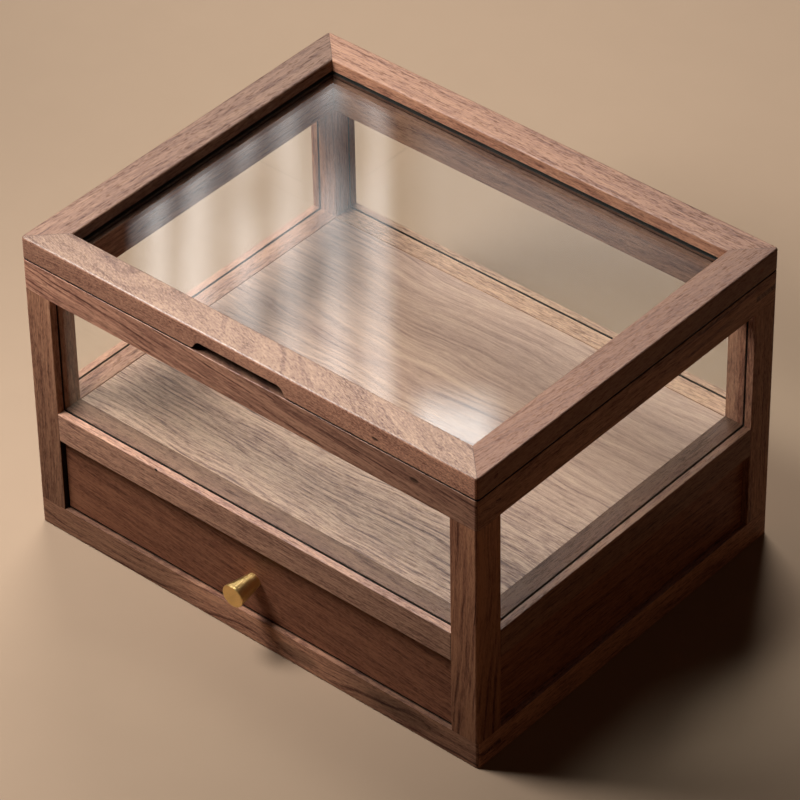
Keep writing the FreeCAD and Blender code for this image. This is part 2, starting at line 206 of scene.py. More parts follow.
# %% Materials, and the pieces that get them
def set_stops(ramp, stops):
    """Gives a ramp its stops, as pairs of a place and a colour."""
    while len(ramp.elements) < len(stops):
        ramp.elements.new(1.0)
    for element, (place, colour) in zip(ramp.elements, stops):
        element.position = place
        element.color = colour


def new_material(name):
    """An empty material, the place on the object as a signal, and its output node."""
    material = bpy.data.materials.new(name)
    material.use_nodes = True
    tree = material.node_tree
    tree.nodes.clear()
    place = Signal(tree.nodes.new("ShaderNodeTexCoord").outputs["Object"])
    return material, place, tree.nodes.new("ShaderNodeOutputMaterial")


def show(shader, output):
    """Links a shader to a material's output."""
    shader.socket.id_data.links.new(shader.socket, output.inputs["Surface"])


def give(node, material):
    """Puts a material on a piece, on its object and not in its mesh."""
    piece = nodes[node]
    for slot in piece.material_slots:
        slot.link = "OBJECT"
        slot.material = material


print("a material starts empty, with the place on the object as its first signal")

# %% [markdown]
# # How walnut gets its figure
# A board is a slice out of a trunk, and its lines are the growth rings, cut lengthwise. A flat picture of
# grain would repeat, and it would not turn into rings on the end of a rail. So the material works out how
# far each point lies from the heart of the tree. Each board has its own heart, at an angle and a distance
# from its middle, and its own lean, because hardly a board is sawn quite parallel to the trunk. Slow noise
# bends the rings as branches and wind do. The numbers for a noise tell how many of its waves fit into a
# metre, first along the board and then across it.

# %% From a place on the board to a place in the tree
ALONG = {"X": ("X", "Y", "Z"), "Y": ("Y", "X", "Z"), "Z": ("Z", "X", "Y")}
BETWEEN_BOARDS = 0.37
BEND_WAVES = (7.0, 13.0, 13.0)
SHIVER_WAVES = (42.0, 60.0, 60.0)


class Board:
    """Where each point of a board lies in its tree, in metres."""

    def __init__(self, place, node, along, seed, cut=50.0, heart=0.09, lean=(0.0, 0.0), wave=0.010,
                 ripple=0.0012):
        middle = (low(node) + high(node)) / 2
        parts = place.parts()
        names = ALONG[along]
        u, v, w = [parts[name] - middle["XYZ".index(name)] for name in names]
        self.maker = place
        self.from_middle = u
        self.length = u + BETWEEN_BOARDS * seed
        self.across = v - u * lean[0]
        self.through = w - u * lean[1]
        slow = self.spread(*BEND_WAVES).noise(2.0, 0.5)
        shiver = self.spread(*SHIVER_WAVES).noise(2.0, 0.5)
        angle = math.radians(cut)
        to_heart = (self.across + heart * math.cos(angle), self.through + heart * math.sin(angle))
        straight = (to_heart[0] * to_heart[0] + to_heart[1] * to_heart[1]) ** 0.5
        self.ring = straight + slow * wave + shiver * ripple

    def spread(self, along, across, through, shift=0.0):
        """The place in the board, stretched, for noise that follows the fibres."""
        return self.maker.vector(self.length * along + shift, self.across * across, self.through * through)

    def rings(self, along, outward, shift=0.0):
        """The place in the board for noise that follows the growth rings."""
        return self.maker.vector(self.length * along + shift, self.ring * outward, shift)


print("a board can tell how far each point lies from the heart")

# %% [markdown]
# # The joint lines
# Where two boards meet, a hair-thin dark line of glue and shade shows. The boards touch face to face, so
# the gap has no depth to model. The material darkens the wood very close to the joint instead. On the
# mitred frames the joint runs at 45 degrees from each corner, on the posts it is at the ends, and so it is
# on the middle rails.

# %% Distance to the nearest joint
def mitre_distance(place):
    """How far a point lies from the mitre of its corner."""
    parts = place.parts()
    in_x = half_width - parts["X"].math("ABSOLUTE")
    in_y = half_depth - (parts["Y"] - case_middle).math("ABSOLUTE")
    return (in_x - in_y).math("ABSOLUTE") * math.sqrt(0.5)


def post_end_distance(place):
    """How far a point lies from the ends of the posts."""
    height = place.parts()["Z"]
    to_foot = (height - post_foot).math("ABSOLUTE")
    to_head = (height - post_head).math("ABSOLUTE")
    return to_foot.math("MINIMUM", to_head)


def front_rail_end_distance(place):
    """How far a point lies from the posts, along the front or back middle rail."""
    across = place.parts()["X"]
    return (half_width - post_size - across.math("ABSOLUTE")).math("ABSOLUTE")


def side_rail_end_distance(place):
    """How far a point lies from the posts, along the left or right middle rail."""
    deep = place.parts()["Y"] - case_middle
    return (half_depth - post_size - deep.math("ABSOLUTE")).math("ABSOLUTE")


print("joint lines for mitres, posts and middle rails")

# %% [markdown]
# # Painted shade and marks
# Some places on the cabinet hardly see light, and their shade is painted into the wood's colour. The seam
# under the lid is a real gap. The strip of wood that shows in it is painted nearly black as shade, and the
# painted shade goes a little up the lid's foot. The finger pull, the two ends of the drawer's opening, the
# line under the drawer's front and the lip of the lid below its glass get painted shade too, and so do the
# ledges behind the front and right panes. A knot and a few nicks are small balls of dark, set where the
# boards have them.
#
# An image mask could do this as well, but it would need a picture, and it would blur up close. Here each
# dark place is a function of the point on the board. It gives one where the wood is dark and zero
# elsewhere.

# %% Where the darker places are
SEAM_WIDTH = 1.8 * MM
LID_FOOT = 0.75 * MM
LIP_EDGE = 0.4 * MM
PULL_SIDE = 10.5 * MM
PULL_DEPTH = 13.1 * MM
PULL_HEIGHT = 7.7 * MM
PULL_ARRIS = 0.25 * MM
PULL_DIM = 7.0 * MM
PULL_FRONT_SHADE = 0.70
SILL_SHADE_WIDTH = 0.9 * MM
TOP_FACE = 0.02 * MM
POST_FACE = 0.05 * MM
SILL_FACE = 0.5 * MM
pull_box = [opening["box_m"] for opening in frame["record"]["physics"]["openings"]
            if opening["name"] == "finger_pull"][0]
pane_depth = (low("glass_front").y + high("glass_front").y) / 2 - case_front
drawer_top = low("middle_rail_front").z
print("the panes stand %.1f mm behind the outer faces" % (pane_depth / MM))

# %% The seam, the lid's edges and the finger pull
def frame_depth(place):
    """How far a point lies behind the nearest outer face of the case."""
    parts = place.parts()
    in_x = half_width - parts["X"].math("ABSOLUTE")
    in_y = half_depth - (parts["Y"] - case_middle).math("ABSOLUTE")
    return in_x.math("MINIMUM", in_y)


def beside_pull(place):
    """One from one end of the finger pull to the other, near the front."""
    parts = place.parts()
    after_start = parts["X"].math("GREATER_THAN", pull_box[0][0] - PULL_SIDE)
    before_end = parts["X"].math("LESS_THAN", pull_box[1][0] + PULL_SIDE)
    near_front = (parts["Y"] - case_front).math("LESS_THAN", PULL_DEPTH)
    return after_start * before_end * near_front


def seam_shade(place):
    """One on the narrow strip of the top frame that shows between the case and the lid, where the seam's
    shade is painted nearly black.
    """
    height = place.parts()["Z"]
    on_top = height.math("GREATER_THAN", case_top - TOP_FACE) * (1 - beside_pull(place))
    return on_top * frame_depth(place).math("LESS_THAN", SEAM_WIDTH)


def under_glass(place):
    """One on the narrow inner lip of a lid rail below its glass, where no light falls and the shade is
    painted.
    """
    height = place.parts()["Z"]
    inner = frame_depth(place).math("GREATER_THAN", lid_rail_width - LIP_EDGE)
    return inner * height.math("LESS_THAN", low("lid_glass").z)


def lid_foot_shade(place):
    """One along the lid's lowest edge, where the dark line of the seam's shade is painted a little wider.
    """
    height = place.parts()["Z"]
    return height.math("LESS_THAN", lid_bottom + LID_FOOT)


def pull_shade(place):
    """From zero to one as a point of the finger pull lies deeper in the shade."""
    parts = place.parts()
    near = (parts["Z"] - case_top).math("ABSOLUTE").math("LESS_THAN", PULL_HEIGHT)
    deep = parts["Y"] - case_front
    shaded = PULL_FRONT_SHADE + deep.rise(0.0, PULL_DIM) * (1 - PULL_FRONT_SHADE)
    return beside_pull(place) * near * deep.math("GREATER_THAN", PULL_ARRIS) * shaded


print("the finger pull is dark from %.0f to %.0f mm" % (pull_box[0][0] / MM, pull_box[1][0] / MM))

# %% The drawer's opening, the ledges and the marks
def opening_shade(place):
    """One on the side of a post that faces the drawer's opening, where the shade of the recess is painted
    dark.
    """
    parts = place.parts()
    inner = parts["X"].math("ABSOLUTE").math("LESS_THAN", half_width - post_size + POST_FACE)
    return inner * parts["Z"].math("LESS_THAN", drawer_top)


def sill_shade(place):
    """One along the line where the drawer's front meets the rail below it, where the gap's shadow is
    painted.
    """
    parts = place.parts()
    deep = parts["Y"].rise(low("drawer_front").y - SILL_SHADE_WIDTH, low("drawer_front").y)
    return deep * parts["Z"].math("GREATER_THAN", post_foot - SILL_FACE)


def behind_pane(place):
    """One on the part of a middle rail that lies behind its pane, where shade is painted on the ledge."""
    return frame_depth(place).math("GREATER_THAN", pane_depth)


def mark(place, centre, radius, along=1.0):
    """One in a small pit or knot, stretched along the X axis, and zero around it."""
    away = (place - centre) * (1 / along, 1.0, 1.0)
    return 1 - away.length().rise(radius / 2, radius)


print("the drawer's opening is dark up to %.0f mm" % (drawer_top / MM))

# %% [markdown]
# # The walnut finish
# One function makes the wood of every board. Broad streaks follow the rings, with thin dark lines where
# growth stopped and finer ones, as thin as a hair, between them. Fibres and small flecks run along the
# board. Short dark strokes are the open pores, which walnut shows even under oil. Noise that is read along
# the rings makes all of them uneven, where a sine wave alone would look like printed stripes.
#
# Light and use do the rest, and some of the light is painted. A board's colour can be painted lighter
# towards one end, where more light falls on it. Its upper face can have a tint of painted sheen or painted
# shade, and its painted shade and its marks multiply the colour. The grain of a wide board can get calmer
# towards the back, where it lies in shade. The surface is oiled to a satin, a little rougher in the pores,
# and the faces that look up have a thin coat of wax. The bump is about a tenth of a millimetre deep, which
# is what a finger feels.

# %% Tones of the wood
WALNUT = (0.345, 0.163, 0.098)
WALNUT_DARK = (0.240, 0.092, 0.050)
WALNUT_FLOOR = (0.490, 0.300, 0.212)
LIGHT_WOOD = (0.520, 0.370, 0.220)
WHITE = (1.0, 1.0, 1.0, 1.0)
GRAIN_DEPTHS = ((0.0, 1.42), (0.40, 1.02), (0.70, 0.66), (1.0, 0.34))


def shade(colour, factor):
    """A colour made lighter or darker, with full alpha."""
    return tuple(min(1.0, part * factor) for part in colour[:3]) + (1.0,)


def darker_wood(tone, depth):
    """A tone as it turns in dark grain: less red is lost than blue."""
    return tuple(part * depth ** power for part, power in zip(tone[:3], (1.0, 1.2, 1.12))) + (1.0,)


print("walnut is", [round(part / WALNUT[0], 2) for part in WALNUT], "of its red")

# %% Walnut
STREAK_WAVES = (5.0, 210.0)
BROAD_WAVES = (2.0, 60.0)
HAIR_WAVES = (17.0, 640.0)
BREAK_WAVES = (20.0, 150.0)
FIBRE_WAVES = (75.0, 760.0, 760.0)
FLECK_WAVES = (420.0, 1750.0, 1750.0)
PORE_WAVES = (190.0, 1150.0, 1150.0)
GROUND = 0.33
STREAK_DARK, BROAD_DARK, FIBRE_DARK, FLECK_DARK = 1.2, 0.8, 1.7, 1.4
CALM_START, CALM_END = -60.0 * MM, 40.0 * MM
LINE_WIDTH = 0.30 * MM
GLUE_DARK = 0.6
BUMP_DEPTH = 0.22 * MM
WOOD_IOR = 1.5


def walnut(node, along, seed, tone, joint=None, figure=1.0, lines=0.35, spacing=4.0, hairs=1.0, fibre=1.0,
           fleck=0.5, pore=0.28, pore_size=1.0, roughness=0.47, wax=1.0, painted_falloff=0.0, top=None, calm=0.0,
           dark_places=(), marks=(), **grain):
    """The wood of one board, named after it."""
    material, place, output = new_material(node)
    board = Board(place, node, along, seed, **grain)
    streaks = board.rings(*STREAK_WAVES, seed).noise(4.0, 0.66)
    broad = board.rings(*BROAD_WAVES, seed + 2.0).noise(2.0, 0.5)
    hair = board.rings(*HAIR_WAVES, seed + 3.0).noise(3.0, 0.65)
    fibres = board.spread(*FIBRE_WAVES, seed).noise(3.0, 0.65)
    phase = board.ring * (2 * math.pi / (spacing * MM)) + broad * 10.0 + streaks * 5.0
    broken = board.rings(*BREAK_WAVES, seed + 7.0).noise(2.0, 0.5).rise(-0.10, 0.16)
    growth = phase.math("SINE").rise(0.30, 0.95) * broken
    flecks = board.spread(*FLECK_WAVES, seed + 4.0).noise(1.0, 0.5)
    pore_waves = [waves / pore_size for waves in PORE_WAVES]
    strokes = board.spread(*pore_waves, seed).noise(1.0, 0.5) + streaks * 0.35
    sharp = 1 - place.parts()["Y"].rise(CALM_START, CALM_END) * calm
    pores = strokes.rise(0.04, 0.15) * sharp
    fine = (hair * hairs + growth * lines) * sharp
    dark = GROUND + (streaks * STREAK_DARK + broad * BROAD_DARK + fine) * figure
    dark = dark + (fibres * (FIBRE_DARK * fibre) + flecks * (FLECK_DARK * fleck)) * sharp
    stops = [(position, darker_wood(tone, depth)) for position, depth in GRAIN_DEPTHS]
    colour = dark.node("ValToRGB", {"stops": stops}, {"Fac": dark}) * (1 - pores * pore)
    # Painted light: the colour grows lighter towards one end of the board.
    if painted_falloff:
        reach = (high(node) - low(node))["XYZ".index(along)] / 2
        colour = colour * (1 + board.from_middle * (painted_falloff / reach))
    if joint is not None:
        glue = 1 - joint(place).rise(0.0, LINE_WIDTH)
        colour = colour * (1 - glue * GLUE_DARK)
    # Most dark places are painted shade. Each one multiplies the colour and the coat.
    unshaded = 1.0
    for where, strength in dark_places:
        unshaded = unshaded * (1 - where(place) * strength)
    colour = colour * unshaded
    for centre, radius, stretch, strength in marks:
        colour = colour * (1 - mark(place, centre, radius, stretch) * strength)
    upward = place["Normal"].parts()["Z"].rise(0.3, 0.9)
    # Painted sheen or shade: the upper faces can have a tint of their own.
    if top is not None:
        colour = colour * upward.blend(WHITE, top + (1.0,))
    rough = roughness + pores * 0.16 + fibres * 0.25
    height = pores * -0.8 - fibres * sharp
    bump = place.node("Bump", None, {"Strength": 0.5, "Distance": BUMP_DEPTH, "Height": height})
    shader = place.node("BsdfPrincipled", None, {
        "Base Color": colour, "Roughness": rough, "Normal": bump,
        "IOR": WOOD_IOR, "Specular IOR Level": 0.12,
        "Coat Weight": upward * (1 - pores * 0.6) * unshaded * wax, "Coat Roughness": 0.40,
        "Coat IOR": WOOD_IOR})
    show(shader, output)
    return material


print("one function makes every wooden finish")

# %% [markdown]
# # One finish for each board
# The boards of the frame come from the same tree, but no two look alike. Each board's lightness, tint,
# upper-face tint and slope from end to end are partly its own tone and partly painted light and shade. The
# lid's front rail is painted lighter than its side rails, with a greyer tint of painted sheen on its upper
# face, and its grain runs off at a slant. Most of the middle rails are paler still. The bottom rail was cut
# near a branch, so its figure swirls. The other boards are quiet. Each one gets its own place in the tree.
# A material for each board would repeat nearly everything, so a table holds only what is special about a
# board. A mark is its centre, its radius, how far it is stretched and how dark it is, and with a number
# below zero it is a lighter place.

# %% What is special about a board
def at_front(across, height):
    """A place on the front face of the frame, from millimetres."""
    return (across * MM, case_front, height * MM)


GREYER = (0.90, 1.00, 1.08)
# Painted shade: the seam, the lid's foot, the lip under the lid's glass, the finger pull and the sides of
# the drawer's opening.
SEAM = (seam_shade, 0.97)
FOOT = (lid_foot_shade, 0.9)
LIP = (under_glass, 0.75)
PULL = (pull_shade, 0.8)
OPENING = (opening_shade, 0.95)
SPECIAL = {
    # The lid's front rail: painted sheen, lighter towards its right end and greyer on its upper face.
    "lid_rail_front": dict(lightness=1.21, tint=(1.00, 1.00, 1.05), top=(0.78, 0.97, 1.04), painted_falloff=0.38,
                           lean=(-0.26, -0.08), figure=0.32, hairs=2.2, lines=1.0, spacing=2.0, wave=0.012,
                           pore=0.18, pore_size=0.5, fibre=0.60, fleck=1.20,
                           dark_places=(FOOT, LIP, PULL),
                           marks=((at_front(103.3, 215.0), 1.3 * MM, 2.5, 0.85),)),
    "lid_rail_left": dict(lightness=0.59, tint=GREYER, lean=(0.05, 0.0), figure=0.8, cut=20.0),
    "lid_rail_right": dict(lightness=0.76, lean=(0.10, 0.0), figure=0.7, lines=0.2, cut=30.0, painted_falloff=-0.12,
                           pore=0.15, fibre=0.6),
    # Painted sheen: a greyer upper face.
    "lid_rail_back": dict(lightness=1.02, figure=0.7, top=(1.0, 1.05, 1.08), painted_falloff=-0.05),
    "top_rail_front": dict(lightness=1.06, tint=(1.00, 1.00, 1.06), painted_falloff=-0.14, lean=(0.0, -0.10),
                           figure=1.2, lines=0.45, cut=70.0, wave=0.016, dark_places=(SEAM, PULL),
                           marks=((at_front(132.6, 199.8), 2.2 * MM, 2.0, 0.7),)),
    "top_rail_left": dict(lightness=0.80, figure=0.9),
    "top_rail_back": dict(lightness=0.72, tint=GREYER, figure=0.9),
    # Painted shade: the upper face is darker, and a shadow line is painted under the drawer's front.
    "bottom_rail_front": dict(lightness=0.85, painted_falloff=-0.08, figure=1.3, lines=0.4, wave=0.060, cut=80.0,
                              spacing=7.0, wax=0.3, top=(0.60, 0.60, 0.62), dark_places=((sill_shade, 0.8),),
                              marks=((at_front(8.0, 8.0), 60.0 * MM, 1.5, -0.75),
                                     (at_front(36.0, 9.0), 7.0 * MM, 3.0, 0.40),
                                     (at_front(120.0, 12.0), 9.0 * MM, 4.0, 0.40))),
    # Painted shade on the ledge behind the pane.
    "middle_rail_front": dict(lightness=1.45, tint=GREYER, painted_falloff=-0.18, figure=0.7, lean=(0.0, -0.03),
                              cut=60.0, dark_places=((behind_pane, 0.54),),
                              marks=((at_front(-76.1, 96.3), 1.1 * MM, 1.5, 0.95),)),
    "middle_rail_back": dict(lightness=1.50, tint=(1.00, 1.18, 1.19), figure=0.6),
    "middle_rail_left": dict(lightness=1.25, tint=(1.00, 1.06, 1.10), figure=0.7),
    # Painted shade on the ledge behind the pane.
    "middle_rail_right": dict(lightness=0.70, figure=0.8, dark_places=((behind_pane, 0.5),)),
    "bottom_rail_right": dict(lightness=1.30, figure=0.8),
    # Painted light: the front posts grow lighter towards their heads.
    "post_front_left": dict(lightness=0.82, tint=(1.00, 0.97, 0.93), painted_falloff=0.20, figure=0.8,
                            lean=(0.02, 0.0), cut=50.0, dark_places=(OPENING,)),
    "post_front_right": dict(lightness=0.91, tint=(1.00, 0.90, 0.81), painted_falloff=0.22, figure=1.3,
                             lean=(0.03, 0.02), cut=35.0, wave=0.014, pore=0.18, fibre=0.7,
                             dark_places=(OPENING,)),
}
print(len(SPECIAL), "boards have something of their own")

# %% Every board of the frame
frame_boards = []
for part in ("lid_rail", "top_rail", "bottom_rail"):
    for side in ("front", "right", "back", "left"):
        frame_boards.append((part + "_" + side, "X" if side in ("front", "back") else "Y", mitre_distance))
for corner in ("front_left", "front_right", "back_left", "back_right"):
    frame_boards.append(("post_" + corner, "Z", post_end_distance))
for side in ("front", "back"):
    frame_boards.append(("middle_rail_" + side, "X", front_rail_end_distance))
for side in ("left", "right"):
    frame_boards.append(("middle_rail_" + side, "Y", side_rail_end_distance))

for seed, (node, along, joint) in enumerate(frame_boards, start=1):
    look = dict(cut=50.0 + 35.0 * math.sin(1.7 * seed), lightness=1 + 0.06 * math.sin(2.4 * seed))
    # Painted shade along the seam on the top rails, and along the foot and under the glass on the lid
    # rails.
    if node.startswith("top_rail"):
        look["dark_places"] = (SEAM,)
    if node.startswith("lid_rail"):
        look["dark_places"] = (FOOT, LIP)
    look.update(SPECIAL.get(node, {}))
    tint = look.pop("tint", (1.0, 1.0, 1.0))
    tone = shade([part * change for part, change in zip(WALNUT, tint)], look.pop("lightness"))
    give(node, walnut(node, along, float(seed), tone, joint, **look))
print(len(frame_boards), "boards of the frame are walnut")

# %% [markdown]
# # Panels, the drawer and its box
# The panels and the drawer's front are darker walnut with a quiet figure. The board that the tea ware
# stands on is pale and open-grained, and its front edge is paler still, with a border that wanders a
# little. The drawer's box, its runners and the bottom board are a plain light wood, because a maker keeps
# walnut for what shows. They could have a material of their own, but a light wood has the same fibres and
# pores. So the same function makes them, in another tone and with less figure.

# %% Darker boards, the floor board and the drawer's box
EDGE_START, EDGE_END = 2.5 * MM, 5.0 * MM
EDGE_WANDER = 6.0 * MM


def front_edge(place):
    """One along the paler front edge of the floor board."""
    deep = place.parts()["Y"] - low("floor_board").y
    wander = (place * 25.0).noise(1.0, 0.5) * EDGE_WANDER
    return 1 - (deep + wander).rise(EDGE_START, EDGE_END)


PLAIN = dict(figure=0.5, pore=0.15)
PLAIN_SHEET = dict(figure=0.5, pore=0.15, cut=10.0)
boards = (
    ("drawer_front", "X", WALNUT_DARK, 31.0, dict(figure=0.7, lean=(0.0, -0.12), cut=70.0, lines=0.15)),
    ("side_panel_left", "Y", WALNUT_DARK, 32.0, dict(cut=0.0)),
    ("side_panel_right", "Y", WALNUT_DARK, 33.0, dict(cut=80.0)),
    ("back_panel", "X", WALNUT_DARK, 34.0, dict(cut=80.0)),
    ("floor_board", "X", WALNUT_FLOOR, 35.0, dict(figure=0.85, pore=0.16, cut=12.0, heart=0.30, wave=0.034,
                                                 lines=0.70, spacing=4.8, hairs=2.0, calm=0.62, fibre=1.3,
                                                 painted_falloff=-0.08, dark_places=((front_edge, -0.25),))),
    ("drawer_side_left", "Y", LIGHT_WOOD, 41.0, PLAIN),
    ("drawer_side_right", "Y", LIGHT_WOOD, 42.0, PLAIN),
    ("drawer_back", "X", LIGHT_WOOD, 43.0, PLAIN),
    ("drawer_runner_left", "Y", LIGHT_WOOD, 44.0, PLAIN),
    ("drawer_runner_right", "Y", LIGHT_WOOD, 45.0, PLAIN),
    ("drawer_guide_left", "Y", LIGHT_WOOD, 46.0, PLAIN),
    ("drawer_guide_right", "Y", LIGHT_WOOD, 47.0, PLAIN),
    ("drawer_stops", "Y", LIGHT_WOOD, 48.0, PLAIN),
    ("drawer_bottom", "X", LIGHT_WOOD, 49.0, PLAIN_SHEET),
    ("bottom_board", "X", LIGHT_WOOD, 50.0, PLAIN_SHEET),
    ("lid_dowels", "X", WALNUT_DARK, 51.0, dict()),
)
for node, along, tone, seed, look in boards:
    give(node, walnut(node, along, seed, tone, **look))
print(len(boards), "more boards")

# %% [markdown]
# # Glass
# The panes are clear float glass. Real refraction keeps the small shifts at their edges. Light that
# reaches the wood through refracting glass is slow and noisy in a path tracer, and it would count twice
# beside the light that comes straight from a lamp. So a pane refracts and mirrors what is seen in it, and
# for the light that only brightens the wood it is a faintly tinted transparent sheet. Where a pane stands
# in its groove no light reaches it. Seen through its own thickness that edge is the thin black line along
# the wood, so the part of the pane inside the wood is a dull black green. The upright panes stand between
# posts and mirror little of a real room. The sheets of light around this cabinet are larger and nearer, so
# these panes bend light less than real glass, and mirror less of it.

# %% Panes
LID_GLASS_IOR = 1.5
CASE_GLASS_IOR = 1.27
CLEAR = (0.975, 0.985, 0.98, 1.0)
FAINT_TINT = (0.93, 0.94, 0.935, 1.0)
BLACK_GREEN = (0.006, 0.010, 0.009, 1.0)


def inside_groove(place, node):
    """One where a pane stands in its grooves, and zero where it shows."""
    parts = place.parts()
    if node == "lid_glass":
        half_x = -high("lid_rail_left").x
        half_y = case_middle - high("lid_rail_front").y
        outside_x = (parts["X"].math("ABSOLUTE") - half_x).math("GREATER_THAN", 0.0)
        outside_y = ((parts["Y"] - case_middle).math("ABSOLUTE") - half_y).math("GREATER_THAN", 0.0)
        return outside_x.math("MAXIMUM", outside_y)
    below = (high("middle_rail_front").z - parts["Z"]).math("GREATER_THAN", 0.0)
    above = (parts["Z"] - post_head).math("GREATER_THAN", 0.0)
    if node in ("glass_front", "glass_back"):
        beside = (parts["X"].math("ABSOLUTE") - (half_width - post_size)).math("GREATER_THAN", 0.0)
    else:
        deep = (parts["Y"] - case_middle).math("ABSOLUTE")
        beside = (deep - (half_depth - post_size)).math("GREATER_THAN", 0.0)
    return below.math("MAXIMUM", above).math("MAXIMUM", beside)


def clear_glass(name, node):
    """Clear glass that lets lamps through, dark where it stands in the wood."""
    material, place, output = new_material(name)
    bend = LID_GLASS_IOR if node == "lid_glass" else CASE_GLASS_IOR
    body = place.node("BsdfPrincipled", None, {
        "Base Color": CLEAR, "Roughness": 0.0, "IOR": bend, "Transmission Weight": 1.0})
    sheet = place.node("BsdfTransparent", None, {"Color": FAINT_TINT})
    edge = place.node("BsdfPrincipled", None, {"Base Color": BLACK_GREEN, "Roughness": 0.6})
    rays = place.node("LightPath")
    lighting = rays["Is Shadow Ray"].math("MAXIMUM", rays["Is Diffuse Ray"])
    pane = place.node("MixShader", None, {0: lighting, 1: body, 2: sheet})
    show(place.node("MixShader", None, {0: inside_groove(place, node), 1: pane, 2: edge}), output)
    return material


panes = [node for node in nodes if node.startswith("glass_") or node == "lid_glass"]
for pane in panes:
    give(pane, clear_glass("clear_" + pane, pane))
print(len(panes), "panes")

# %% [markdown]
# # Brass and steel
# The knob is turned from brass. The tool leaves fine rings round its axis, and each ring mirrors the
# window a little differently, so the light runs down the cone as one long soft stripe and the flat end
# looks brushed. The rings are too fine to model. They are a bump that depends only on the distance from
# the axis and along it. The hinges are plain brass, and the screw behind the knob is steel.

# %% Metal
RING = 0.45 * MM
RING_DEPTH = 0.50 * MM
BRASS = (0.80, 0.55, 0.20)
KNOB_BRASS = (0.84, 0.58, 0.23)
STEEL = (0.55, 0.55, 0.54)
knob_low, knob_high = low("knob"), high("knob")
knob_middle = ((knob_low.x + knob_high.x) / 2, 0.0, (knob_low.z + knob_high.z) / 2)


def metal(name, tone, roughness, rings=0.0):
    """A satin metal with a fine uneven polish, turned about the knob's axis if it has rings."""
    material, place, output = new_material(name)
    cloud = (place * 60.0).noise(3.0, 0.5)
    speck = (place * 900.0).noise(2.0, 0.6)
    values = {"Base Color": (cloud + speck * 0.8 + 0.5).blend(shade(tone, 0.86), shade(tone, 1.08)),
              "Metallic": 1.0, "Roughness": roughness + cloud * 0.12 + speck * 0.10}
    if rings:
        away = (place - knob_middle) * (1.0, 0.0, 1.0)
        along = place.parts()["Y"]
        turned = place.vector(away.length() / RING, along / RING, 0.0).noise(2.0, 0.6)
        values["Normal"] = place.node("Bump", None, {"Strength": 1.0, "Distance": rings, "Height": turned})
    show(place.node("BsdfPrincipled", None, values), output)
    return material


brass = metal("satin_brass", BRASS, 0.33)
for node in nodes:
    if node.startswith("hinge"):
        give(node, brass)
give("knob", metal("turned_brass", KNOB_BRASS, 0.34, RING_DEPTH))
give("knob_screw", metal("zinc_steel", STEEL, 0.35))
print("metal fittings done")

# %% [markdown]
# # The floor
# The cabinet stands on a plain floor of warm tan paper. Its colour is painted a little lighter towards the
# window behind and darker to the right, as painted light and shade. A floor that is bright to the eye
# throws much light up at the shaded side, more than the tan cloth of a real room does. So the paper is
# darker for the light that it scatters than for the eye, for the glass and for the metal. Light Path tells
# the two apart, and the shadow of the cabinet stays.

# %% Floor
FLOOR_SIZE = 6.0
FLOOR_COLOUR = (0.50, 0.352, 0.240)
FLOOR_SCATTER = (0.140, 0.088, 0.055, 1.0)
FLOOR_LEVEL = 0.88
LIGHTER_BEHIND = 0.27
DARKER_RIGHT = 0.20


def flat_sheet(name, corners):
    """A flat sheet through a list of corners."""
    mesh = bpy.data.meshes.new(name)
    mesh.from_pydata(corners, [], [range(len(corners))])
    sheet = bpy.data.objects.new(name, mesh)
    bpy.context.scene.collection.objects.link(sheet)
    return sheet


half = FLOOR_SIZE / 2
floor = flat_sheet("floor", [(-half, -half, 0), (half, -half, 0), (half, half, 0), (-half, half, 0)])
material, place, output = new_material("floor_paper")
cloud = (place * 30.0).noise(4.0, 0.5)
parts = place.parts()
# Painted light and shade: lighter behind the cabinet and darker to its right.
behind = parts["Y"].rise(0.0, 0.5)
to_right = parts["X"].rise(0.1, 0.6)
level = FLOOR_LEVEL + behind * LIGHTER_BEHIND - to_right * DARKER_RIGHT
paper = (cloud + 0.5).blend(shade(FLOOR_COLOUR, 0.98), shade(FLOOR_COLOUR, 1.02)) * level
seen = place.node("BsdfDiffuse", None, {"Color": paper})
scattered = place.node("BsdfDiffuse", None, {"Color": FLOOR_SCATTER})
rays = place.node("LightPath")["Is Diffuse Ray"]
show(place.node("MixShader", None, {0: rays, 1: seen, 2: scattered}), output)
floor.data.materials.append(material)
print("floor of %.0f m" % FLOOR_SIZE)

# %% [markdown]
# # Light
# Light reaches the cabinet from a window behind it at the left and from another one near its front. Three
# soft square lamps stand for them and for the table. The large one behind lights the top and the lid. The
# near one at the front left makes the front darker from left to right, and it is the only one that the
# satin wood mirrors. A weak warm one at the right is what the table throws back. The room itself is a
# faint warm glow. One bright sky would be simpler, but it would light every side alike.

# %% Lamps
BACK_WATTS = 32.0
NEAR_WATTS = 5.0
TABLE_WATTS = 0.9
ROOM_GLOW = 0.004
TABLE_COLOUR = (1.0, 0.55, 0.30)
ROOM_COLOUR = (1.0, 0.84, 0.70, 1.0)
case_centre = Vector((0.0, case_middle, lid_top / 2))


def soft_lamp(name, way, distance, size, watts, colour=(1.0, 1.0, 1.0), mirrored=False):
    """A square soft lamp in a direction from the cabinet, pointed at its middle."""
    light = bpy.data.lights.new(name, "AREA")
    light.shape = "SQUARE"
    light.size = size
    light.energy = watts
    light.color = colour
    lamp = bpy.data.objects.new(name, light)
    way = Vector(way).normalized()
    lamp.matrix_world = (Matrix.Translation(case_centre + way * distance)
                         @ (-way).to_track_quat("-Z", "Y").to_matrix().to_4x4())
    lamp.visible_glossy = mirrored
    lamp.visible_camera = False
    lamp.visible_transmission = False
    bpy.context.scene.collection.objects.link(lamp)
    return lamp


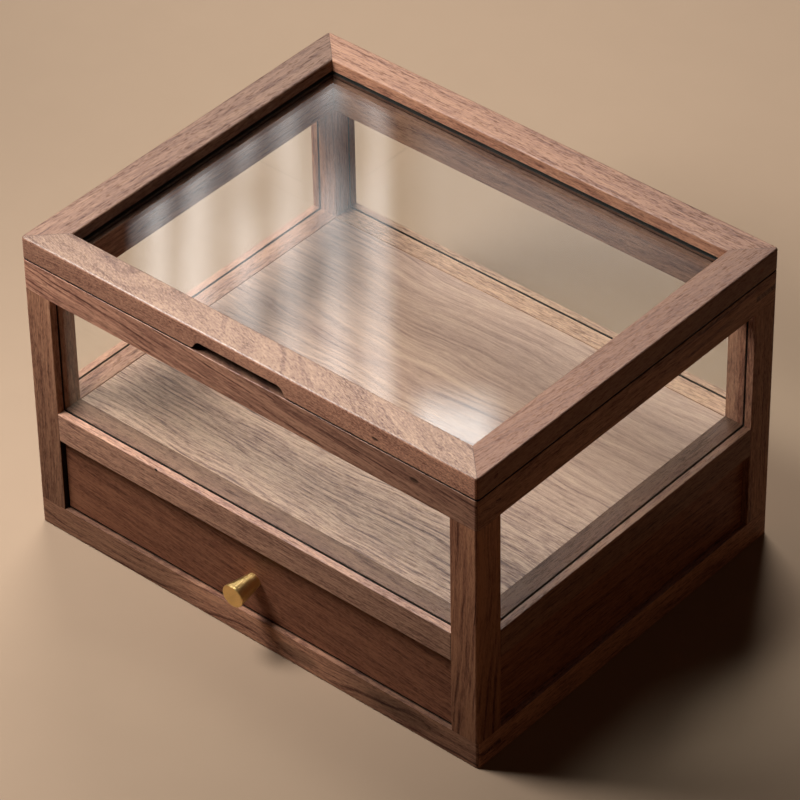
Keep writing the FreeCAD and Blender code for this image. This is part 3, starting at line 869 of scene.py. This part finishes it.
soft_lamp("window_back", (-0.45, 0.50, 0.74), 2.2, 1.0, BACK_WATTS)
soft_lamp("window_near", (-0.45, -0.45, 0.77), 0.65, 0.25, NEAR_WATTS, mirrored=True)
soft_lamp("table_glow", (0.90, -0.25, 0.12), 1.5, 1.0, TABLE_WATTS, TABLE_COLOUR)
world = bpy.data.worlds.new("room")
world.use_nodes = True
world.node_tree.nodes["Background"].inputs["Color"].default_value = ROOM_COLOUR
world.node_tree.nodes["Background"].inputs["Strength"].default_value = ROOM_GLOW
bpy.context.scene.world = world
print("three lamps and a room")

# %% [markdown]
# # The curtain
# The lid's glass mirrors a window with a thin curtain. A lamp has no folds, so the curtain is a glowing
# sheet that stands where the pane mirrors it to the camera. Its own X axis runs to the right and its Y
# axis up, from the point that the middle of the pane mirrors, so its material can use plain metres. The
# cloth is cloudy, with a row of bright folds and two dim hollows. Noise that is long in Y would be a
# quicker way to make folds, but it gives no say in where they hang. To the right of the curtain are a dim
# wall and a lighter patch. Above them, where the pane mirrors nothing, is the bright sky that gives the
# satin wood its sheen. The cloth makes its light a little warmer, and the sky's light is cooler. A fold is
# its place, its width and its strength. A hollow is its place, its height, its reach and its strength.

# %% The sheet of the window
SHEET_DISTANCE = 3.0
SHEET_LEFT, SHEET_RIGHT, SHEET_FOOT, SHEET_HEAD = -2.0, 2.0, -0.8, 2.2
SHEET_WAY = Vector((-0.525, 0.599, 0.604)).normalized()
pane_centre = Vector((0.0, case_middle, high("lid_glass").z))

right = SHEET_WAY.cross(Vector((0, 0, 1))).normalized()
up = right.cross(SHEET_WAY)
curtain = flat_sheet("curtain", [(SHEET_LEFT, SHEET_FOOT, 0), (SHEET_RIGHT, SHEET_FOOT, 0),
                                 (SHEET_RIGHT, SHEET_HEAD, 0), (SHEET_LEFT, SHEET_HEAD, 0)])
axes = Matrix((right, up, -SHEET_WAY)).transposed().to_4x4()
curtain.matrix_world = Matrix.Translation(pane_centre + SHEET_WAY * SHEET_DISTANCE) @ axes
curtain.visible_camera = False
curtain.visible_shadow = False
curtain.visible_diffuse = False
print("a sheet %.1f m wide stands %.1f m from the pane" % (SHEET_RIGHT - SHEET_LEFT, SHEET_DISTANCE))

# %% The curtain, the wall and the sky
CURTAIN_GLOW = 1.5
SKY_GLOW = 2.4
PATCH_GLOW = 2.4
WALL_GLOW = 0.42
CLOTH_LEVEL = 0.75
CLOTH_LEAST = 0.05
LEFT_HEM = (-0.342, -0.318)
RIGHT_HEM = (-0.018, 0.006)
SKY_START, SKY_END = 0.30, 0.42
CLOTH_TINT = (1.0, 0.97, 0.95, 1.0)
SKY_TINT = (0.88, 0.98, 1.02, 1.0)
FOLDS = ((-0.300, 0.026, 1.0), (-0.250, 0.030, 0.9), (-0.190, 0.026, 0.9), (-0.135, 0.026, 0.75),
         (-0.079, 0.026, 0.85), (-0.027, 0.024, 0.70))
HOLLOWS = ((-0.175, -0.085, 0.070, 0.60), (-0.065, -0.140, 0.090, 0.65))
BLACK = (0.0, 0.0, 0.0, 1.0)


def glow(light, tint):
    """A tint that is as bright as a number says."""
    settings = {"data_type": "RGBA", "clamp_factor": False}
    return light.node("Mix", settings, {"Factor": light, "A": BLACK, "B": tint})


material, place, output = new_material("curtain_cloth")
parts = place.parts()
across, height = parts["X"], parts["Y"]
clouds = place.vector(across * 14.0, height * 9.0, 3.0).noise(3.0, 0.55)
bent = across + clouds * 0.014
cloth = CLOTH_LEVEL + clouds
for centre, width, strength in FOLDS:
    cloth = cloth + (1 - (bent - centre).math("ABSOLUTE").rise(0.0, width)) * strength
for side, level, reach, strength in HOLLOWS:
    away = place - (side, level, 0.0)
    cloth = cloth * (1 - (1 - away.length().rise(0.0, reach)) * strength)
in_curtain = across.rise(*LEFT_HEM) * (1 - across.rise(*RIGHT_HEM))
wall = across.rise(0.0, 0.06) * (1 - height.rise(-0.04, 0.08) * 0.8) * WALL_GLOW
patch = across.rise(0.0, 0.04) * (1 - across.rise(0.09, 0.14)) * height.rise(0.15, 0.22) * PATCH_GLOW
sky = height.rise(SKY_START, SKY_END)
curtain_light = (cloth.math("MAXIMUM", CLOTH_LEAST) * in_curtain + wall) * CURTAIN_GLOW * (1 - sky)
sky_light = patch * CURTAIN_GLOW * (1 - sky) + sky * SKY_GLOW
window_light = glow(curtain_light, CLOTH_TINT) + glow(sky_light, SKY_TINT)
show(place.node("Emission", None, {"Color": window_light, "Strength": 1.0}), output)
curtain.data.materials.append(material)
print(len(FOLDS), "folds and", len(HOLLOWS), "hollows in the curtain")

# %% [markdown]
# # The camera
# The camera stands high at the front right and looks down on the lid through a long lens, from far enough
# that parallel edges stay nearly parallel. Its place and its turns were worked out from the straight edges
# of the cabinet. A camera that tracks a target would be simpler to set, but it couldn't hold the small
# roll. The Standard view keeps the tones of the finishes as they are, where a film look would flatten
# them.

# %% Camera
SENSOR_WIDTH = 36.0
camera_place = Vector((1488.8, -1699.9 + case_middle / MM, 1928.7)) * MM
camera_turn = math.radians(41.232)
camera_down = math.radians(38.946)
camera_roll = math.radians(-1.008)
camera_lens = 211.21

camera = bpy.data.objects.new("camera", bpy.data.cameras.new("camera"))
camera.data.lens = camera_lens
camera.data.sensor_width = SENSOR_WIDTH
camera.data.clip_end = 20.0
turn = Matrix.Rotation(camera_turn, 4, "Z") @ Matrix.Rotation(math.pi / 2 - camera_down, 4, "X")
camera.matrix_world = Matrix.Translation(camera_place) @ turn @ Matrix.Rotation(camera_roll, 4, "Z")
bpy.context.scene.collection.objects.link(camera)
bpy.context.scene.camera = camera
bpy.context.scene.view_settings.view_transform = "Standard"
print("camera at", [round(part, 3) for part in camera_place])
